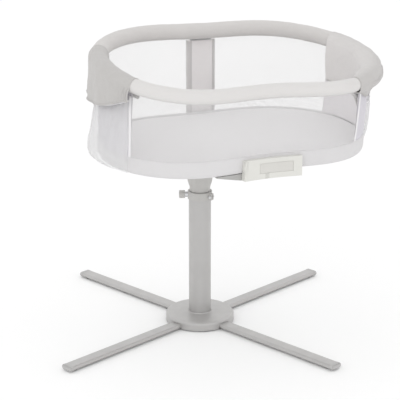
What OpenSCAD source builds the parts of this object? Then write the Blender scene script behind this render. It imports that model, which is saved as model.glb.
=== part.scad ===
// Bassinet on a swivelling, height-adjustable stand.
// Millimetres, +Z up. The origin is on the post's axis at the floor, +X runs along the
// bassinet's length and +Y points to the back, where the post and the back upright are.

/* [Bassinet outline] */
// Half of the bassinet's length at the lower band
shell_half_length = 376; // [360:1:392]
// Half of the width the outline would have with no waist
shell_half_width = 313; // [305:1:320]
// Roundness of the outline, where 2 is an ellipse
outline_power = 2.09; // [2:0.01:2.2]
// How far the front is drawn in at its middle, as a share of the half width
front_waist = 0.25; // [0.2:0.01:0.27]
// How far the back is drawn in at its middle, as a share of the half width
back_waist = 0.18; // [0.14:0.01:0.2]
// Distance over which a waist fades out to either side
waist_spread = 206; // [190:1:230]
// Distance from the post's axis forward to the bassinet's middle
bassinet_forward = 232; // [228:1:236]

/* [Bassinet heights] */
// Height of the lower band's bottom edge
band_bottom = 607; // [600:1:620]
// Height of the lower band itself, up to the mattress top
band_height = 43; // [40:1:50]
// Height of the rim's centre at the two ends, where the front rail pivots
rim_end_height = 856; // [850:1:862]
// Rise of the rim towards the back, per millimetre
rim_slope = 0.153; // [0.14:0.001:0.16]
// Slope of the rim down to the right, in degrees
rim_tilt = 1.32; // [0:0.01:1.5]
// How far the rim stands to the right of the lower band
rim_shift = 13; // [8:1:14]

/* [Rims] */
// Half of the rim's length, along its centre
rim_half_length = 384; // [383:1:387]
// Half of the rim's width with no waist
rim_half_width = 310; // [308:1:314]
// Radius of the padding on the fixed rim
fixed_pad_radius = 23.5; // [21:0.5:23.5]
// Radius of the padding on the front rail
rail_pad_radius = 20.3; // [18:0.1:22]
// Outer radius of the steel rim tube
rim_tube_radius = 9; // [8:0.5:10]
// Outer radius of the steel front rail tube
rail_tube_radius = 8; // [7:0.5:9]

/* [Post] */
// Outer radius of the lower post
lower_post_radius = 33.5; // [33.5:0.5:33.5]
// Outer radius of the upper post
upper_post_radius = 29; // [29:0.5:29]
// Height of the lower post's top
lower_post_top = 411; // [400:1:411]
// How far the upper post can be raised
height_travel = 200; // [150:10:200]

/* [Stand] */
// Turn of the stand under the bassinet as shown, in degrees
stand_turn = -21.6; // [-90:0.1:90]
// Distance from the post's axis to a leg's tip
leg_reach = 541; // [500:1:560]
// Width of a leg
leg_width = 40; // [38:1:44]
// Height of a leg's section
leg_height = 14; // [13:1:18]
// Radius of the hub cover
hub_radius = 104; // [102:1:110]

/* [Hidden] */
$fn = 64;

silver = [0.74, 0.73, 0.71];
dark_grey = [0.3, 0.3, 0.3];
steel = [0.6, 0.6, 0.62];
white_plastic = [0.93, 0.93, 0.91];
cream = [0.88, 0.87, 0.84];
sheer_white = [0.95, 0.95, 0.96];
lilac_grey = [0.78, 0.76, 0.8];

// Stand heights
pad_thick = 1;
plate_thick = 3;
leg_bottom = pad_thick + plate_thick;
leg_middle = leg_bottom + leg_height / 2;
leg_top = leg_bottom + leg_height;
leg_wall = 1.6;
leg_start = 46;
leg_cap = 12;
bolt_radii = [62, 84];
flange_radius = 43;
flange_top = leg_bottom + 7;
post_wall = 2;
LEG_TURNS = [45, 135, 225, 315];

// Height pin
pin_height = 405;
pin_radius = 4;
pin_travel = 8;
collar_outer = 36.5;
collar_bottom = 393;
clamp_turn = -35;
clamp_radius = 41.2;
clamp_height = 403;
barrel_outer = 8.5;
barrel_bore = 6.6;
barrel_end = 54;

// Upper post and swivel
upper_post_bottom = 130;
upper_post_top = 462;
housing_top = 556;
spindle_radius = 14;
running_gap = 0.05;
washer_thick = 2.5;
head_bottom = housing_top + washer_thick + 0.5;
arm_bottom = 588;
arm_top = 606;

// Bassinet
OUTLINE_STEP = 3.75;
band_top = band_bottom + band_height;
board_bottom = 621.2;
board_thick = 5;
mattress_bottom = 626.5;
back_wall_y = shell_half_width * (1 - back_waist) - bassinet_forward;
wall_thick = 1.2;
// Angles round the outline at which the end panels stop, at the front and at the back
panel_front_angle = 23;
panel_back_angle = 22;
wrap_flare = 6;
wrap_inner = 24;
wrap_outer = 27;
// How far the right wrap reaches below the rim's centre, and how far it tucks in there
tuck_drop = 48;
tuck_inset = 28;
stay_inner = 371.2;
stay_outer = 373.7;
stay_half_width = 20;
stay_head_drop = 26;
upright_x = 20;
upright_y = back_wall_y + 20;
saddle_front = -7.5;
upright_height = 262;
pivot_y = -bassinet_forward;
eye_inner = 382;
eye_outer = 394;
pin_head_end = 398;
pivot_radius = 5;

// Tab on the front edge
tab_start = -75;
tab_end = 95;
tab_bottom = arm_bottom;
tab_top = 643;
tab_depth = 16;

// ---- functions -------------------------------------------------------------

// Point of an outline at angle t, with its own half length and half width
function outline(t, half_length, half_width) =
    let (
        c = cos(t),
        s = sin(t),
        x = half_length * sign(c) * pow(abs(c), 2 / outline_power),
        waist = s < 0 ? front_waist : back_waist,
        pinch = 1 - waist * exp(-pow(x / waist_spread, 2)),
        y = half_width * sign(s) * pow(abs(s), 2 / outline_power) * pinch
    )
    [x, y - bassinet_forward];

// Outward direction of an outline at angle t
function outward(t, half_length, half_width) =
    let (
        a = outline(t - 0.4, half_length, half_width),
        b = outline(t + 0.4, half_length, half_width),
        d = b - a
    )
    [d.y, -d.x] / norm(d);

// Point of the lower shell's outline, moved outward
function shell_edge(t, out) =
    outline(t, shell_half_length, shell_half_width)
    + out * outward(t, shell_half_length, shell_half_width);

// The whole shell outline as a polygon, moved outward
function shell_loop(out) = [for (t = [0:OUTLINE_STEP:359.9]) shell_edge(t, out)];

// Angle on the front of the shell outline at which x is reached
function front_angle(x) =
    270 + sign(x) * acos(pow(1 - pow(abs(x) / shell_half_length, outline_power), 0.5));

// Height of the rim's centre at x from its middle and v behind it
function rim_height(x, v) = rim_end_height + rim_slope * v - x * tan(rim_tilt);

// How far the cloth walls lean to the right at height z
function lean(z) = rim_shift * max(0, z - band_top) / (rim_end_height - band_top);

// Centre of the rim at angle t
function rim_centre(t) =
    let (p = outline(t, rim_half_length, rim_half_width))
    [p.x + rim_shift, p.y, rim_height(p.x, p.y + bassinet_forward)];

// Point round the rim's centre, with an angle measured from outward to up
function rim_surface(t, radius, angle) =
    let (
        ahead = rim_centre(t + 0.4) - rim_centre(t - 0.4),
        along = ahead / norm(ahead),
        side = outward(t, rim_half_length, rim_half_width),
        out = [side.x, side.y, 0],
        up = cross(out, along)
    )
    rim_centre(t) + radius * (cos(angle) * out + sin(angle) * up / norm(up));

// Rings of a round bar or sleeve that follows the rim between two angles
function rim_rings(first, last, count, radius, sides) =
    [for (i = [0:count])
        [for (j = [0:sides - 1])
            rim_surface(first + (last - first) * i / count, radius, 360 * j / sides)]];

// Point of a cloth wall between the band and the underside of the rim
function wall_point(t, share, out, pad_radius) =
    let (
        low = shell_edge(t, out),
        rim = rim_centre(t),
        side = outward(t, rim_half_length, rim_half_width),
        high = [rim.x, rim.y] + out * side,
        top = rim.z - pad_radius - 0.6,
        flat = low + (high - low) * share
    )
    [flat.x, flat.y, band_top + 0.5 + (top - band_top - 0.5) * share];

function wall_grid(first, last, columns, rows, out, pad_radius) =
    [for (i = [0:columns])
        [for (j = [0:rows])
            wall_point(first + (last - first) * i / columns, j / rows, out, pad_radius)]];

function quad(a, b, c, d) = [[a, b, c], [a, c, d]];

// ---- building blocks -------------------------------------------------------

// Closed solid between an outer and an inner grid of points. Rows run along the piece.
// With round = true the columns close on themselves, as on a sleeve.
module skin_solid(outer, inner, round = false) {
    m = len(outer);
    n = len(outer[0]);
    points = concat([for (row = outer) each row], [for (row = inner) each row]);
    last_column = round ? n - 1 : n - 2;
    function at(i, j, layer) = layer * m * n + i * n + j % n;
    sheets = [for (i = [0:m - 2], j = [0:last_column]) each concat(
        quad(at(i, j, 0), at(i, j + 1, 0), at(i + 1, j + 1, 0), at(i + 1, j, 0)),
        quad(at(i, j, 1), at(i + 1, j, 1), at(i + 1, j + 1, 1), at(i, j + 1, 1)))];
    ends = [for (j = [0:last_column]) each concat(
        quad(at(0, j + 1, 0), at(0, j, 0), at(0, j, 1), at(0, j + 1, 1)),
        quad(at(m - 1, j, 0), at(m - 1, j + 1, 0), at(m - 1, j + 1, 1), at(m - 1, j, 1)))];
    edges = round ? [] : [for (i = [0:m - 2]) each concat(
        quad(at(i, 0, 0), at(i + 1, 0, 0), at(i + 1, 0, 1), at(i, 0, 1)),
        quad(at(i + 1, n - 1, 0), at(i, n - 1, 0), at(i, n - 1, 1), at(i + 1, n - 1, 1)))];
    polyhedron(points, concat(sheets, ends, edges), convexity = 10);
}

// Solid bar through a list of rings
module bar_solid(rings) {
    m = len(rings);
    n = len(rings[0]);
    last = (m - 1) * n;
    skin = [for (i = [0:m - 2], j = [0:n - 1]) each
        quad(i * n + j, i * n + (j + 1) % n, (i + 1) * n + (j + 1) % n, (i + 1) * n + j)];
    caps = [for (j = [1:n - 2]) each [[0, j + 1, j], [last, last + j, last + j + 1]]];
    polyhedron([for (r = rings) each r], concat(skin, caps), convexity = 10);
}

// Coil spring along X from x = 0, with its wire swept round the axis
module coil(length, mean_radius, wire_radius, turns) {
    steps = 12 * turns;
    sides = 6;
    rings = [for (i = [0:steps])
        let (a = 30 * i, x = wire_radius + (length - 2 * wire_radius) * i / steps)
        [for (j = [0:sides - 1])
            let (b = -360 * j / sides, r = mean_radius + wire_radius * cos(b))
            [x + wire_radius * sin(b), r * cos(a), r * sin(a)]]];
    bar_solid(rings);
}

// Tube or ring round Z
module ring(inner, outer, bottom, top) {
    translate([0, 0, bottom])
        linear_extrude(top - bottom)
            difference() {
                circle(outer);
                circle(inner);
            }
}

// Prism whose outline is the shell's, moved outward
module shell_slab(out, bottom, top) {
    translate([0, 0, bottom])
        linear_extrude(top - bottom)
            polygon(shell_loop(out));
}

// Curved block on the front of the shell, between two x positions
module front_block(x_start, x_end, inner, outer, bottom, top) {
    a = front_angle(x_start);
    b = front_angle(x_end);
    steps = 16;
    near = [for (i = [0:steps]) shell_edge(a + (b - a) * i / steps, outer)];
    far = [for (i = [steps:-1:0]) shell_edge(a + (b - a) * i / steps, inner)];
    translate([0, 0, bottom])
        linear_extrude(top - bottom)
            polygon(concat(near, far));
}

// Plan of a bar with rounded corners, centred
module rounded_plan(width, depth, radius) {
    square([width - 2 * radius, depth], center = true);
    square([width, depth - 2 * radius], center = true);
    for (x = [-1, 1], y = [-1, 1])
        translate([x * (width / 2 - radius), y * (depth / 2 - radius)])
            circle(radius);
}

// Everything on the stand is drawn square to its own legs and then turned
module in_stand() {
    rotate([0, 0, stand_turn])
        children();
}

// Places children on a leg's line, with +X outward along the leg
module on_leg(turn) {
    rotate([0, 0, stand_turn + turn])
        children();
}

// Oval section of a leg, extruded outward from one radius to another
module leg_bar(from, to, width, height) {
    translate([from, 0, leg_middle])
        rotate([90, 0, 90])
            linear_extrude(to - from)
                rounded_plan(width, height, height / 2 - 0.01);
}

// Cylinder along +X from x = from to x = to
module rod_x(from, to, radius) {
    translate([from, 0, 0])
        rotate([0, 90, 0])
            cylinder(h = to - from, r = radius);
}

// ---- stand -----------------------------------------------------------------

module hub_shell() {
    color(silver)
        difference() {
            rotate_extrude()
                polygon([
                    [hub_radius, 3], [hub_radius, 22], [hub_radius - 1.2, 26],
                    [hub_radius - 4.5, 29], [hub_radius - 10, 30.4], [60, 31.4],
                    [38, 32], [37, 34], [34.2, 34], [34.2, 29],
                    [60, 28.6], [hub_radius - 11, 27.6], [hub_radius - 3.4, 25],
                    [hub_radius - 2.4, 22], [hub_radius - 2.4, 3]
                ]);
            for (turn = LEG_TURNS)
                on_leg(turn)
                    leg_bar(80, 120, leg_width + 0.8, leg_height + 0.8);
            for (turn = LEG_TURNS)
                on_leg(turn)
                    translate([80, -leg_width / 2 - 0.4, 2])
                        cube([40, leg_width + 0.8, leg_middle - 2]);
        }
}

module hub_plate() {
    color(dark_grey)
        difference() {
            translate([0, 0, pad_thick])
                cylinder(h = plate_thick, r = hub_radius - 6);
            for (turn = LEG_TURNS)
                on_leg(turn)
                    for (r = bolt_radii)
                        translate([r, 0, 0])
                            cylinder(h = 10, r = 4.1);
            for (turn = LEG_TURNS)
                on_leg(turn + 45)
                    translate([38.6, 0, 0])
                        cylinder(h = 10, r = 2.6);
        }
}

module hub_pad() {
    color(dark_grey)
        cylinder(h = pad_thick, r = hub_radius - 8);
}

module post_socket() {
    color(dark_grey)
        difference() {
            union() {
                translate([0, 0, leg_bottom])
                    cylinder(h = flange_top - leg_bottom, r = flange_radius);
                translate([0, 0, leg_bottom])
                    cylinder(h = 57, r = lower_post_radius - post_wall - 0.1);
            }
            translate([0, 0, leg_bottom + 6])
                cylinder(h = 60, r = 24);
            for (turn = LEG_TURNS)
                on_leg(turn + 45)
                    translate([38.6, 0, 0])
                        cylinder(h = 20, r = 2.6);
        }
}

module socket_screws() {
    color(steel)
        for (turn = LEG_TURNS)
            on_leg(turn + 45)
                translate([38.6, 0, 0]) {
                    translate([0, 0, pad_thick + 0.5])
                        cylinder(h = flange_top - pad_thick - 0.5, r = 2.5);
                    translate([0, 0, flange_top])
                        cylinder(h = 3, r = 4);
                }
}

module leg(turn) {
    color(silver)
        on_leg(turn)
            difference() {
                leg_bar(leg_start, leg_reach - leg_cap, leg_width, leg_height);
                leg_bar(leg_start - 1, leg_reach, leg_width - 2 * leg_wall,
                    leg_height - 2 * leg_wall);
                for (r = bolt_radii)
                    translate([r, 0, 0])
                        cylinder(h = 40, r = 4.1);
            }
}

module leg_bolts() {
    color(steel)
        for (turn = LEG_TURNS)
            on_leg(turn)
                for (r = bolt_radii)
                    translate([r, 0, 0]) {
                        translate([0, 0, pad_thick + 0.5])
                            cylinder(h = leg_top - pad_thick - 0.5, r = 4);
                        translate([0, 0, leg_top])
                            cylinder(h = 1.2, r = 7);
                    }
}

module leg_end_caps() {
    color(silver)
        for (turn = LEG_TURNS)
            on_leg(turn) {
                leg_bar(leg_reach - leg_cap, leg_reach - 3, leg_width + 1, leg_height + 0.8);
                leg_bar(leg_reach - 3, leg_reach - 1, leg_width - 1.4, leg_height - 1.6);
                leg_bar(leg_reach - 1, leg_reach, leg_width - 5, leg_height - 5);
                leg_bar(leg_reach - 34, leg_reach - leg_cap, leg_width - 2 * leg_wall - 0.2,
                    leg_height - 2 * leg_wall - 0.2);
            }
}

module foot_pads() {
    color(dark_grey)
        for (turn = LEG_TURNS)
            on_leg(turn)
                translate([leg_reach - 28, 0, 0])
                    cylinder(h = leg_bottom, r = 11);
}

module lower_post() {
    color(silver)
        difference() {
            ring(lower_post_radius - post_wall, lower_post_radius, flange_top, lower_post_top);
            in_stand()
                translate([0, 0, pin_height])
                    rod_x(-40, -20, pin_radius + 0.6);
        }
}

module post_bush() {
    color(white_plastic)
        difference() {
            ring(upper_post_radius + running_gap, lower_post_radius - post_wall - 0.1,
                lower_post_top - 50, lower_post_top);
            in_stand()
                translate([0, 0, pin_height])
                    rod_x(-40, -20, pin_radius + 0.6);
        }
}

module height_collar() {
    color(silver)
        difference() {
            union() {
                ring(lower_post_radius + 0.1, collar_outer, collar_bottom, lower_post_top + 0.2);
                ring(upper_post_radius + 0.6, collar_outer, lower_post_top + 0.2, 416);
                in_stand()
                    rotate([0, 0, clamp_turn])
                        translate([collar_outer - 2, -6.5, collar_bottom + 1])
                            cube([10.5, 13, 19]);
            }
            in_stand() {
                translate([0, 0, pin_height])
                    rod_x(-60, -20, barrel_outer + 0.1);
                rotate([0, 0, clamp_turn])
                    translate([lower_post_radius - 2, -1, 380])
                        cube([20, 2, 31.2]);
                rotate([0, 0, clamp_turn])
                    translate([clamp_radius, 0, clamp_height])
                        rotate([90, 0, 0])
                            cylinder(h = 30, r = 2.6, center = true);
            }
        }
}

module collar_screw() {
    color(steel)
        in_stand()
            rotate([0, 0, clamp_turn])
                translate([clamp_radius, 0, clamp_height])
                    rotate([90, 0, 0]) {
                        cylinder(h = 19, r = 2.5, center = true);
                        translate([0, 0, 6.6])
                            cylinder(h = 3.6, r = 4.2);
                        translate([0, 0, -9.8])
                            cylinder(h = 3.2, r = 4.2);
                    }
}

module pin_barrel() {
    color(steel)
        in_stand()
            translate([0, 0, pin_height])
                difference() {
                    rod_x(-barrel_end, -34.6, barrel_outer);
                    rod_x(-barrel_end + 1.6, -30, barrel_bore);
                    rod_x(-barrel_end - 1, -30, 3.2);
                }
}

module pin_spring() {
    color(steel)
        in_stand()
            translate([-barrel_end + 1.9, 0, pin_height])
                coil(11.9, 4.6, 0.45, 4);
}

module height_pin() {
    color(steel)
        in_stand()
            translate([0, 0, pin_height]) {
                rod_x(-60, -40, 3);
                rod_x(-40, -37.5, 6);
                rod_x(-37.5, -26, pin_radius);
            }
}

module pin_knob() {
    color(silver)
        in_stand()
            translate([0, 0, pin_height])
                rotate([0, -90, 0])
                    rotate_extrude()
                        polygon([
                            [3.02, 55.6], [9.2, 55.6], [9.2, 45], [11, 45], [12, 46],
                            [12, 60.5], [10.5, 62.6], [0, 63], [0, 60.1], [3.02, 60.1]
                        ]);
}

// ---- mast ------------------------------------------------------------------

module upper_post() {
    slot_low = pin_height - height_travel;
    color(silver)
        difference() {
            ring(upper_post_radius - post_wall, upper_post_radius,
                upper_post_bottom, upper_post_top);
            in_stand() {
                for (z = [slot_low - 1, pin_height + 1])
                    translate([0, 0, z])
                        rod_x(-35, -20, pin_radius + 0.5);
                translate([-35, -pin_radius - 0.5, slot_low - 1])
                    cube([15, 2 * pin_radius + 1, height_travel + 2]);
            }
        }
}

module post_glide() {
    color(white_plastic) {
        ring(20, lower_post_radius - post_wall - 0.1, upper_post_bottom - 12, upper_post_bottom);
        ring(20, upper_post_radius - post_wall - 0.1, upper_post_bottom, upper_post_bottom + 20);
    }
}

module swivel_housing() {
    bore = upper_post_radius + 0.05;
    color(dark_grey)
        rotate_extrude()
            polygon([
                [bore, 418], [30.6, 418], [31.2, 430], [33.2, 437], [33.9, 437.6],
                [36.6, 447], [38, 460], [38, housing_top - 1.5], [36.5, housing_top],
                [22.1, housing_top], [22.1, 464], [bore, 464]
            ]);
}

module swivel_bushes() {
    color(white_plastic)
        for (z = [476, 532])
            ring(spindle_radius + running_gap, 22, z, z + 20);
}

module thrust_washer() {
    color(white_plastic)
        ring(spindle_radius + 0.6, 36, housing_top, housing_top + washer_thick);
}

// ---- bassinet: structure ---------------------------------------------------

module swivel_spindle() {
    color(steel)
        difference() {
            translate([0, 0, 467])
                cylinder(h = 112, r = spindle_radius);
            ring(12, spindle_radius + 1, 470, 472.6);
        }
}

module spindle_clip() {
    color(steel)
        difference() {
            ring(12.1, 18, 470.1, 472.5);
            translate([-20, -3, 465])
                cube([12, 6, 10]);
        }
}

module swivel_head() {
    color(dark_grey)
        difference() {
            rotate_extrude()
                polygon([
                    [0, arm_bottom], [44, arm_bottom], [44, 578], [38, 572],
                    [38, head_bottom], [spindle_radius + 0.05, head_bottom],
                    [spindle_radius + 0.05, 579.2], [0, 579.2]
                ]);
            for (a = [45:90:315])
                rotate([0, 0, a])
                    translate([33, 0, 580])
                        cylinder(h = 20, r = 2.6);
        }
}

module head_screws() {
    color(steel)
        for (a = [45:90:315])
            rotate([0, 0, a])
                translate([33, 0, 0]) {
                    translate([0, 0, 580.2])
                        cylinder(h = arm_bottom + 3 - 580.2, r = 2.5);
                    translate([0, 0, arm_bottom + 3])
                        cylinder(h = 3, r = 4.5);
                }
}

// Plan of the arm: round the post, narrowing forward and spreading to the front tab.
// It reaches to x = -wing at the front left.
module arm_plan(inset, wing) {
    intersection() {
        polygon([
            [-46 + inset, 52 - inset], [66 - inset, 52 - inset], [66 - inset, 30],
            [46 - inset, -30], [36 - inset, -120], [36 - inset, -380],
            [80 - inset, -452], [80 - inset, -500 + inset],
            [-wing, -500 + inset], [-wing, -440], [-36 + inset, -380],
            [-36 + inset, -120], [-46 + inset, -30]
        ]);
        union() {
            polygon(shell_loop(-inset));
            translate([-46 + inset, -100])
                square([112 - 2 * inset, 152 - inset]);
        }
    }
}

module support_arm() {
    wing_start = 78;
    wing_end = 150;
    color(dark_grey)
        difference() {
            intersection() {
                translate([0, 0, arm_bottom])
                    linear_extrude(arm_top - arm_bottom)
                        arm_plan(0, wing_end);
                rotate([90, 0, 0])
                    linear_extrude(1200, center = true)
                        polygon([
                            [-wing_end, arm_top], [-wing_end, arm_top - 3],
                            [-wing_start, arm_bottom], [100, arm_bottom], [100, arm_top]
                        ]);
            }
            translate([0, 0, arm_bottom + 3])
                linear_extrude(30)
                    arm_plan(3, wing_start - 6);
            for (a = [45:90:315])
                rotate([0, 0, a])
                    translate([33, 0, 580])
                        cylinder(h = 20, r = 2.6);
        }
}

module front_tab() {
    color(white_plastic)
        difference() {
            union() {
                front_block(tab_start, tab_end, 0.2, tab_depth, tab_bottom, arm_top);
                front_block(tab_start, tab_end, 2.2, tab_depth, arm_top, tab_top);
            }
            front_block(tab_start + 46, tab_end - 24, tab_depth - 1.2, tab_depth + 6, 603, 631);
        }
}

module tab_plate() {
    color(silver)
        front_block(tab_start + 47, tab_end - 25, tab_depth - 1.2, tab_depth - 0.3, 604, 630);
}

module back_upright() {
    color(dark_grey)
        translate([upright_x, upright_y, arm_top]) {
            linear_extrude(upright_height)
                difference() {
                    rounded_plan(60, 19, 4);
                    rounded_plan(56, 15, 2);
                }
            translate([-20, saddle_front, upright_height])
                cube([40, 3, 34]);
        }
}

module upright_cover() {
    color(cream)
        translate([upright_x, upright_y, arm_top + 2])
            linear_extrude(upright_height - 4)
                difference() {
                    rounded_plan(87, 26, 9);
                    rounded_plan(61, 20, 4);
                }
}

module bottom_frame() {
    color(steel)
        difference() {
            shell_slab(-5.2, band_bottom + 0.5, 621);
            shell_slab(-19, band_bottom, 622);
        }
}

module floor_board() {
    color(white_plastic)
        shell_slab(-5.6, board_bottom, board_bottom + board_thick);
}

module mattress() {
    color(sheer_white)
        shell_slab(-9, mattress_bottom, band_top - 1.2);
}

module fitted_sheet() {
    color(sheer_white)
        difference() {
            shell_slab(-7.6, mattress_bottom + 2, band_top);
            shell_slab(-8.8, mattress_bottom + 1, band_top - 1.1);
        }
}

module lower_band() {
    color(sheer_white)
        difference() {
            shell_slab(1.8, band_bottom, band_top);
            shell_slab(0, band_bottom - 1, band_top + 1);
        }
}

module at_pivot(side) {
    translate([rim_shift, pivot_y, rim_end_height])
        rotate([0, rim_tilt, 0])
            mirror([side < 0 ? 1 : 0, 0, 0])
                children();
}

// Flat stay on one end, side is -1 or 1. It stands upright beside the lower band, leans
// to the right above it and ends square to the pivot's pin, in a slightly thicker eye.
module end_stay(side) {
    function head(x, z) = [
        rim_shift + side * x * cos(rim_tilt) + z * sin(rim_tilt),
        rim_end_height - side * x * sin(rim_tilt) + z * cos(rim_tilt)
    ];
    color(steel)
        difference() {
            union() {
                translate([0, pivot_y, 0])
                    rotate([90, 0, 0])
                        linear_extrude(2 * stay_half_width, center = true)
                            polygon([
                                [side * stay_inner, band_bottom + 1],
                                [side * stay_inner, band_top],
                                head(stay_inner, -stay_head_drop), head(stay_inner, 0),
                                head(stay_outer, 0), head(stay_outer, -stay_head_drop),
                                [side * stay_outer, band_top],
                                [side * stay_outer, band_bottom + 1]
                            ]);
                at_pivot(side)
                    rod_x(stay_inner - 0.3, stay_outer + 0.3, stay_half_width - 0.2);
            }
            at_pivot(side)
                rod_x(stay_inner - 1, stay_outer + 1, pivot_radius);
        }
}

module pivot_pins() {
    color(steel)
        for (side = [-1, 1])
            at_pivot(side) {
                rod_x(stay_inner, eye_outer + 0.6, pivot_radius);
                rod_x(eye_outer + 0.6, pin_head_end, 8);
            }
}

module rail_springs() {
    color(steel)
        for (side = [-1, 1])
            at_pivot(side)
                translate([stay_outer + 0.5, 0, 0])
                    coil(7.4, 7, 0.7, 3);
}

module frame_screws() {
    color(steel)
        for (side = [-1, 1], y = [-9, 9])
            translate([0, pivot_y + y, 614])
                mirror([side < 0 ? 1 : 0, 0, 0])
                    rod_x(366, stay_outer + 0.4, 1.8);
    color(steel)
        for (side = [-1, 1])
            at_pivot(side)
                translate([0, 17, 0])
                    rod_x(stay_inner - 1.5, 379, 1.8);
    color(steel)
        for (x = [-12, 12])
            translate([upright_x + x, upright_y + saddle_front + 4.5, arm_top + upright_height + 27])
                rotate([90, 0, 0])
                    cylinder(h = 15, r = 2);
}

// ---- bassinet: rim and cloth -----------------------------------------------

module fixed_rim_tube() {
    color(steel)
        skin_solid(rim_rings(2.6, 177.4, 44, rim_tube_radius, 12),
            rim_rings(2.6, 177.4, 44, rim_tube_radius - 1.5, 12), round = true);
}

module fixed_rim_pad() {
    color(cream)
        skin_solid(rim_rings(4.5, 175.5, 46, fixed_pad_radius, 14),
            rim_rings(4.5, 175.5, 46, rim_tube_radius + 0.3, 14), round = true);
}

module back_mesh() {
    color(sheer_white, 0.4)
        skin_solid(
            wall_grid(panel_back_angle, 180 - panel_back_angle, 32, 4,
                wall_thick, fixed_pad_radius),
            wall_grid(panel_back_angle, 180 - panel_back_angle, 32, 4, 0, fixed_pad_radius));
}

module front_mesh() {
    color(sheer_white, 0.4)
        skin_solid(
            wall_grid(180 + panel_front_angle, 360 - panel_front_angle, 32, 4,
                wall_thick, rail_pad_radius),
            wall_grid(180 + panel_front_angle, 360 - panel_front_angle, 32, 4,
                0, rail_pad_radius));
}

// Upright cloth panel round one end. Its top is cut to clear the lowered front rail.
module end_panel(middle) {
    steps = 20;
    first = middle == 0 ? -panel_front_angle : 180 - panel_back_angle;
    last = middle == 0 ? panel_back_angle : 180 + panel_front_angle;
    function panel_top(p) =
        let (v = p.y + bassinet_forward)
        rim_height(p.x, v) - 32 + 0.5 * min(v, 0);
    function column(t, out) =
        let (p = shell_edge(t, out), low = band_top + 0.5)
        [for (j = [0:2])
            let (z = low + (panel_top(p) - low) * j / 2)
            [p.x + lean(z), p.y, z]];
    outer = [for (i = [0:steps]) column(first + (last - first) * i / steps, wall_thick)];
    inner = [for (i = [0:steps]) column(first + (last - first) * i / steps, 0)];
    color(lilac_grey)
        skin_solid(outer, inner);
}

// How far the left wrap hangs below the rim's centre, where share runs from -1 at its back
// edge to 1 at its front edge
function skirt_drop(share) = 91 - 33 * share - 21 * share * share;

// Lower outside of a wrap, as [outward, up] from the rim's centre and starting at its hem.
// The left wrap hangs as a flared skirt, and the right one tucks in under the rim.
function wrap_hem(middle, r, share) = middle == 0
    ? concat([[r - tuck_inset, -tuck_drop]],
        [for (a = [-60:15:-15]) [r * cos(a), r * sin(a)]])
    : [for (low = [1, 0.66, 0.33]) [r + wrap_flare * pow(low, 1.3), -skirt_drop(share) * low]];

// Padded wrap over one end of the rim
module end_wrap(middle) {
    steps = 22;
    first = middle == 0 ? -panel_front_angle : 180 - panel_back_angle;
    last = middle == 0 ? panel_back_angle : 180 + panel_front_angle;
    function column(t, r) = concat(
        [for (h = wrap_hem(middle, r, (t - middle) / panel_front_angle))
            rim_surface(t, h[0], 0) + [0, 0, h[1]]],
        [for (a = [0:22.5:202.5]) rim_surface(t, r, a)]);
    outer = [for (i = [0:steps]) column(first + (last - first) * i / steps, wrap_outer)];
    inner = [for (i = [0:steps]) column(first + (last - first) * i / steps, wrap_inner)];
    color(cream)
        skin_solid(outer, inner);
}

// Open-topped mesh pocket on one end. The left one sags outward low down. The right one
// bulges high up, and its mouth is cut lower at the front to clear the lowered front rail.
module end_pocket(middle) {
    steps = 12;
    spread = 21;
    turn = middle == 0 ? -1 : 1;
    levels = middle == 0
        ? [[0, 2.4], [22, 6], [48, 19], [80, 25], [124, 27], [160, 23], [180, 18]]
        : [[-4, 2.4], [6, 17], [18, 29], [38, 33], [76, 27], [112, 21], [132, 17]];
    mouth_slope = middle == 0 ? 0.62 : 0;
    mouth = levels[len(levels) - 1][0];
    function column(t, extra) =
        let (
            side = (t - middle - turn) / spread,
            bulge = pow(max(0, 1 - side * side), 0.5),
            v = shell_edge(t, 0).y + bassinet_forward,
            share = 1 + mouth_slope * min(0, v + 25) / mouth
        )
        [for (level = levels)
            let (
                p = shell_edge(t, 2.4 + (level[1] - 2.4) * bulge + extra),
                z = band_bottom + 5 + level[0] * share
            )
            [p.x + lean(z), p.y, z]];
    first = middle + turn - spread;
    outer = [for (i = [0:steps]) column(first + 2 * spread * i / steps, 1.2)];
    inner = [for (i = [0:steps]) column(first + 2 * spread * i / steps, 0)];
    color(sheer_white, 0.5)
        skin_solid(outer, inner);
}

// ---- front rail ------------------------------------------------------------

module front_rail_tube() {
    color(steel)
        skin_solid(rim_rings(182.4, 357.6, 44, rail_tube_radius, 12),
            rim_rings(182.4, 357.6, 44, rail_tube_radius - 1.5, 12), round = true);
}

module front_rail_pad() {
    color(cream)
        skin_solid(rim_rings(186.4, 353.6, 46, rail_pad_radius, 14),
            rim_rings(186.4, 353.6, 46, rail_tube_radius + 0.3, 14), round = true);
}

module rail_eyes() {
    color(steel)
        for (side = [-1, 1])
            at_pivot(side)
                difference() {
                    rod_x(eye_inner, eye_outer, 11);
                    rod_x(eye_inner - 1, eye_outer + 1, pivot_radius + running_gap);
                }
}

// ---- nodes -----------------------------------------------------------------

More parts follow.
